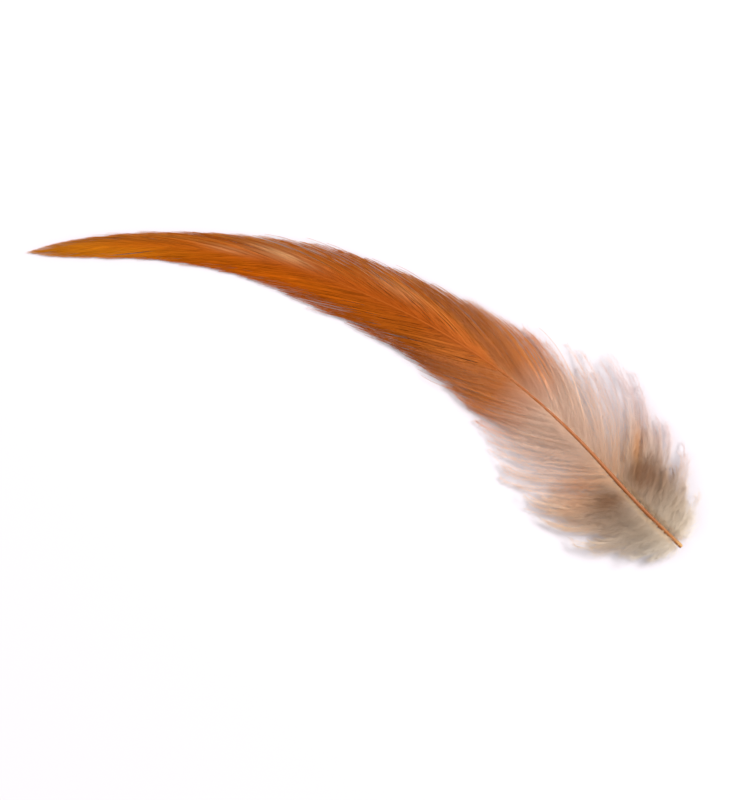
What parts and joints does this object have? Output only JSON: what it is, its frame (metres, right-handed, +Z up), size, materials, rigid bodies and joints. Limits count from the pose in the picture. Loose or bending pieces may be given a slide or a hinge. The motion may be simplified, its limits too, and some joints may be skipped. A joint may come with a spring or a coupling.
{
  "type": "rooster neck hackle",
  "caption": "Loose rooster neck hackle feather: a bowed, tapering shaft with downy barbs at the quill end and a narrow, glossy, rust-orange pointed blade, lying flat.",
  "frame": {"origin": "centre of the feather's bounding box in plan, on the surface that it lies on", "axes": "+X towards the quill end and -X towards the tip, +Y towards the outside of the shaft's bow, +Z up, away from the surface"},
  "size_m": [0.1124, 0.0266, 0.004],
  "materials": {
    "feather": "satin"
  },
  "bodies": {
    "root": {"hackle_feather": "feather"}
  },
  "joints": []
}
